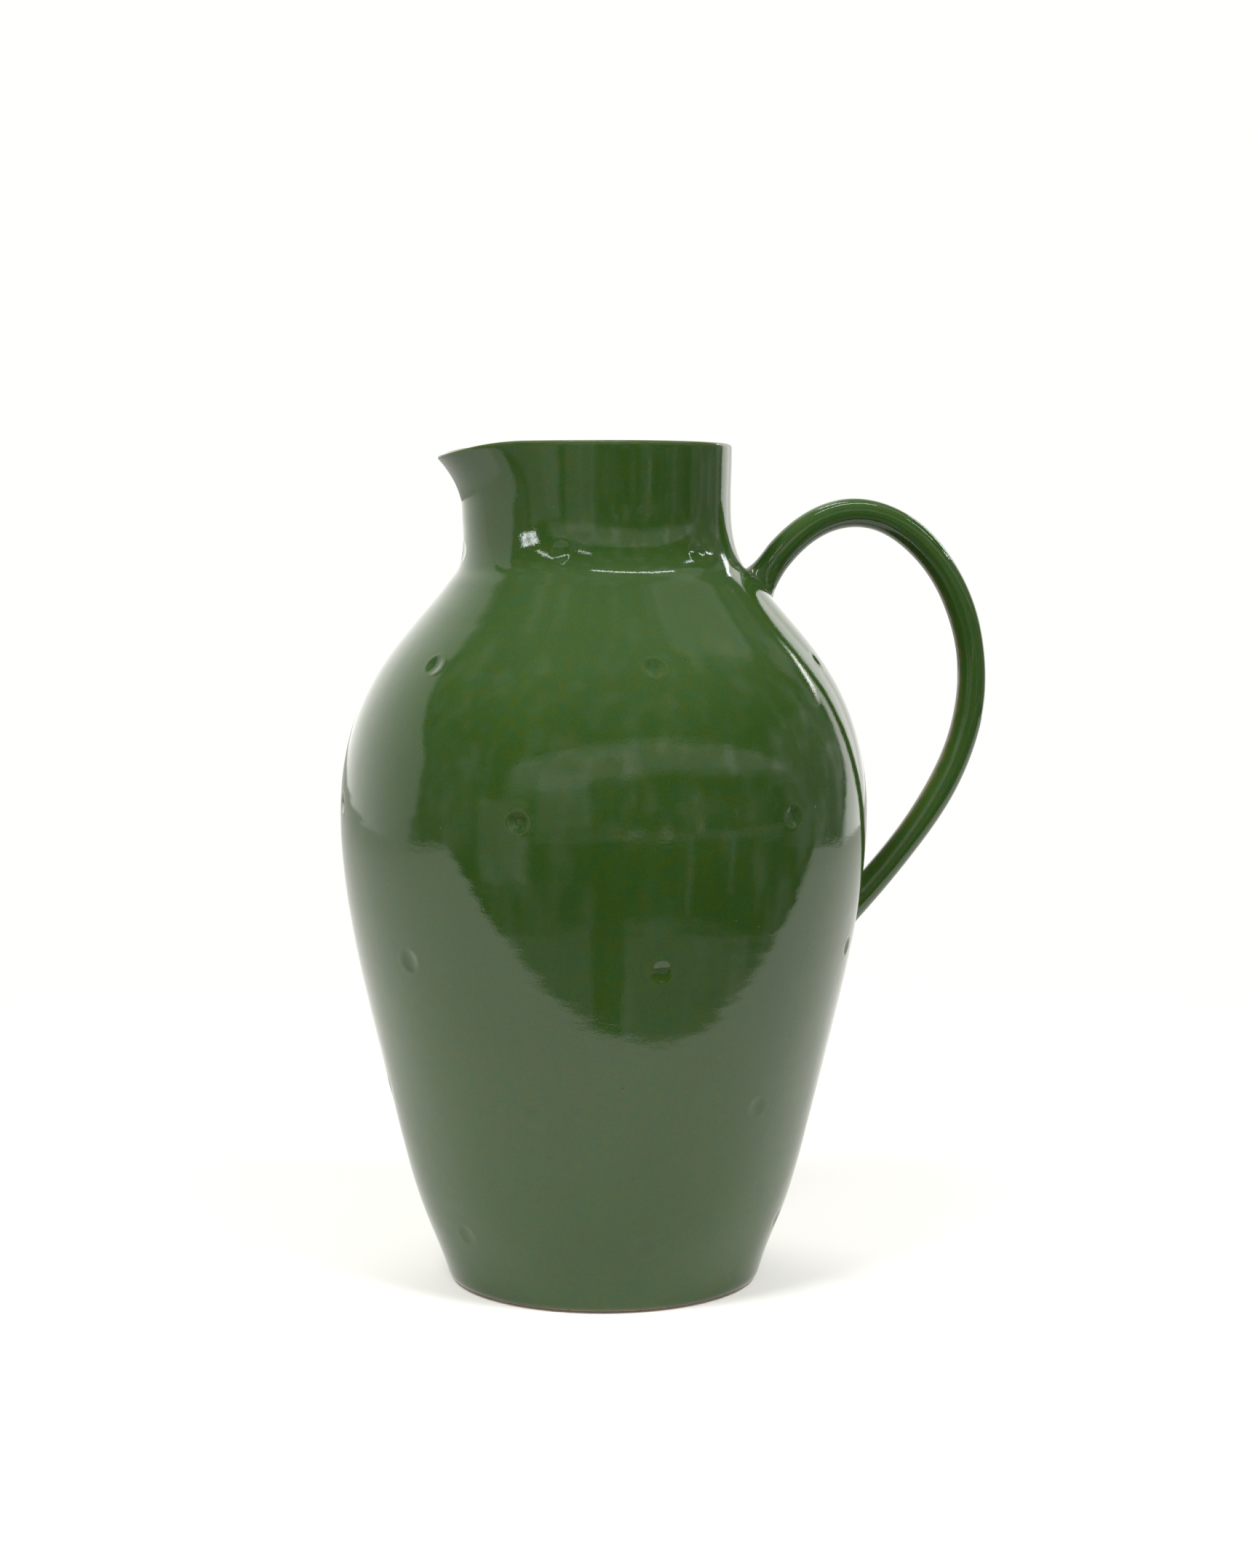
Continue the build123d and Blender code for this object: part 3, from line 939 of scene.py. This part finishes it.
SMALL_PATCHES = (  # posts and small things: azimuths, elevations, softness and brightness
    (36.6, 38.4, -22, -6, 0.4, 0.45), (56.0, 57.6, -18, -6, 0.4, 0.40),
    (11, 17, -5.5, -3.5, 0.5, 0.6), (24, 29, -6, -4, 0.5, 0.6), (40, 43, -5, -1, 0.5, 0.7),
)
for *place, brightness in SMALL_PATCHES:
    room = room + patch(*place) * brightness
ceiling = tree.spread(elevation, 22, 40) * 0.12 + tree.spread(elevation, 40, 70) * 0.27
LAMP_ENDS, LAMP_WIDTH, LAMP_GLOW = ((88, 63), (112, 50)), 16.0, 0.36
round_lamp = bar(*LAMP_ENDS, LAMP_WIDTH)
for end in LAMP_ENDS:
    round_lamp = round_lamp.at_least(disc(*end, LAMP_WIDTH / 2, 0.003))
tube = bar((-140, 72.0), (140, 76.0), 4.0)
side_bar = bar((138.2, 26.3), (130.8, 18.7), 1.8)
level = room + ceiling + round_lamp * LAMP_GLOW
level = level * (1 - sides) + sides * sweep
level = level + tube * 12 + side_bar * 10
warm = tree.node("ShaderNodeCombineColor")
for channel, share in (("Red", 1.0), ("Green", 0.985), ("Blue", 0.955)):
    tree.set(warm, channel, level * share)
MATT_SHARE = 0.75  # the softboxes make up the rest of the light on matt surfaces
inside_room = tree.node("ShaderNodeBackground")
tree.set(inside_room, "Color", warm.outputs[0])
matt = tree.value(tree.node("ShaderNodeLightPath").outputs["Is Diffuse Ray"])
tree.set(inside_room, "Strength", 1 - matt * (1 - MATT_SHARE))
plain = tree.node("ShaderNodeBackground")
tree.set(plain, "Color", BACKDROP)
both = tree.node("ShaderNodeMixShader")
tree.set(both, 0, tree.node("ShaderNodeLightPath").outputs["Is Camera Ray"])
tree.set(both, 1, inside_room.outputs[0])
tree.set(both, 2, plain.outputs[0])
tree.set(tree.node("ShaderNodeOutputWorld"), "Surface", both.outputs[0])


SOFTBOX_AIM = Vector((0, 0, DRAWN_HEIGHT / 2 * MM))
SOFTBOX_DISTANCE, SOFTBOX_SIZE = 2.0, 0.7


def soft_light(name, az, el, power):
    """A softbox that lights but isn't mirrored."""
    light = bpy.data.lights.new(name, "AREA")
    light.size, light.energy = SOFTBOX_SIZE, power
    made = bpy.data.objects.new(name, light)
    spot = SOFTBOX_AIM + SOFTBOX_DISTANCE * towards(az - CAMERA_TURN * DEGREES, el)
    made.location = spot
    made.rotation_mode = "QUATERNION"
    made.rotation_quaternion = (spot - SOFTBOX_AIM).to_track_quat("Z", "Y")
    made.visible_camera = False
    made.visible_glossy = False
    bpy.context.scene.collection.objects.link(made)


soft_light("right_softbox", az=42, el=50, power=30)
soft_light("left_softbox", az=-38, el=52, power=31)

# Lamps and white paper that only the neck mirrors, because the shoulder's slope throws them past the
# camera. They are flat shapes on a sphere round the neck's front, given by directions.
LAMP_DISTANCE = 1.8
NECK_FRONT = Vector((0, -0.05, NECK_ROOT * MM))
LAMP_WHITE, WHITE_PAPER = (0.93, 0.96, 1.0, 1), (1.0, 0.985, 0.955, 1)
LAMPS_TOP, PAPER_TOP = 285, 302  # the highest point of the neck that mirrors them


def neck_lamp(name, directions, material):
    """Four-cornered lamps, each from four of the directions, that are seen in reflections only."""
    turn = Matrix.Rotation(-CAMERA_TURN, 3, "Z")
    mesh = bpy.data.meshes.new(name)
    corners = [turn @ (NECK_FRONT + LAMP_DISTANCE * direction) for direction in directions]
    faces = [tuple(range(i, i + 4)) for i in range(0, len(corners), 4)]
    mesh.from_pydata([tuple(c) for c in corners], [], faces)
    mesh.materials.append(material)
    made = bpy.data.objects.new(name, mesh)
    made.visible_camera = made.visible_diffuse = made.visible_shadow = False
    bpy.context.scene.collection.objects.link(made)


def neck_light(name, colour, strength, top):
    """Shines only where the ray that meets it set out between the neck's root and the height `top`."""
    material, tree = new_material(name)
    place = tree.node("ShaderNodeNewGeometry")
    path = tree.node("ShaderNodeLightPath")
    reach = tree.node("ShaderNodeVectorMath", operation="SCALE")
    tree.set(reach, 0, place.outputs["Incoming"])
    tree.set(reach, "Scale", path.outputs["Ray Length"])
    origin = tree.node("ShaderNodeVectorMath", operation="ADD")
    tree.set(origin, 0, place.outputs["Position"])
    tree.set(origin, 1, reach.outputs[0])
    split = tree.node("ShaderNodeSeparateXYZ")
    tree.set(split, 0, origin.outputs[0])
    level = tree.value(split.outputs["Z"])
    lit = level.above(NECK_ROOT * MM + foot_low.z) * level.below(top * MM + foot_low.z)
    lamp = tree.node("ShaderNodeEmission")
    tree.set(lamp, "Color", colour)
    tree.set(lamp, "Strength", strength)
    both = tree.node("ShaderNodeMixShader")
    tree.set(both, 0, lit)
    tree.set(both, 1, tree.node("ShaderNodeBsdfTransparent").outputs[0])
    tree.set(both, 2, lamp.outputs[0])
    tree.set(tree.node("ShaderNodeOutputMaterial"), "Surface", both.outputs[0])
    material.cycles.emission_sampling = "NONE"
    return material


def ribbon(first, second, width):
    """Four corners of a straight lamp between two directions, `width` degrees across."""
    a, b = towards(*first), towards(*second)
    side = a.cross(b).normalized() * tan(radians(width / 2))
    return [a - side, a + side, b + side, b - side]


STRAIGHT_LAMPS = (  # two ends and a width; the first is the long tube
    ((-19.8, 73.0), (96.5, 57.5), 2.6), ((-57.0, 27.0), (-39.0, 49.5), 1.8),
    ((92.5, 28.0), (88.0, 41.5), 1.8), ((-21.5, 35.0), (-11.5, 40.5), 1.2),
    ((100.5, 24.0), (113.0, 23.0), 1.2), ((126.0, 19.0), (143.5, 31.0), 1.8),
)
lamps = []
for first, second, width in STRAIGHT_LAMPS:
    lamps += ribbon(first, second, width)
for az0, az1 in ((-66.5, -60.6), (-59.4, -53.5)):  # a window of four panes
    for el0, el1 in ((10.5, 14.4), (15.2, 19.0)):
        lamps += [towards(az0, el0), towards(az1, el0), towards(az1, el1), towards(az0, el1)]
neck_lamp("ceiling_lamps", lamps, neck_light("lamp", LAMP_WHITE, strength=14.0, top=LAMPS_TOP))
paper = [towards(-102, -40), towards(-25, -40), towards(-70, 2), towards(-102, 2)]
paper += [towards(-102, 2), towards(-70, 2), towards(-94, 42), towards(-102, 42)]
neck_lamp("white_paper", paper, neck_light("paper", WHITE_PAPER, strength=1.05, top=PAPER_TOP))

# ---- Camera ----------------------------------------------------------------------------------------
CAMERA_DISTANCE, CAMERA_HEIGHT = 1000.0, 267.84
CAMERA_PITCH = radians(5.09)
CAMERA_ASIDE = radians(0.494)  # the camera looks this far to the right of the pitcher's axis
FOCAL_SHARE = 3845 / 2156  # focal length over the picture's height
camera_data = bpy.data.cameras.new("camera")
camera_data.sensor_width = 36.0
camera_data.lens = camera_data.sensor_width * FOCAL_SHARE
camera = bpy.data.objects.new("camera", camera_data)
camera.location = (
    -sin(CAMERA_TURN) * CAMERA_DISTANCE * MM,
    -cos(CAMERA_TURN) * CAMERA_DISTANCE * MM,
    CAMERA_HEIGHT * MM + foot_low.z,
)
camera.rotation_euler = (pi / 2 - CAMERA_PITCH, 0, -(CAMERA_TURN + CAMERA_ASIDE))
bpy.context.scene.collection.objects.link(camera)
bpy.context.scene.camera = camera

scene = bpy.context.scene
scene.view_settings.view_transform = "Standard"
scene.cycles.use_denoising = True
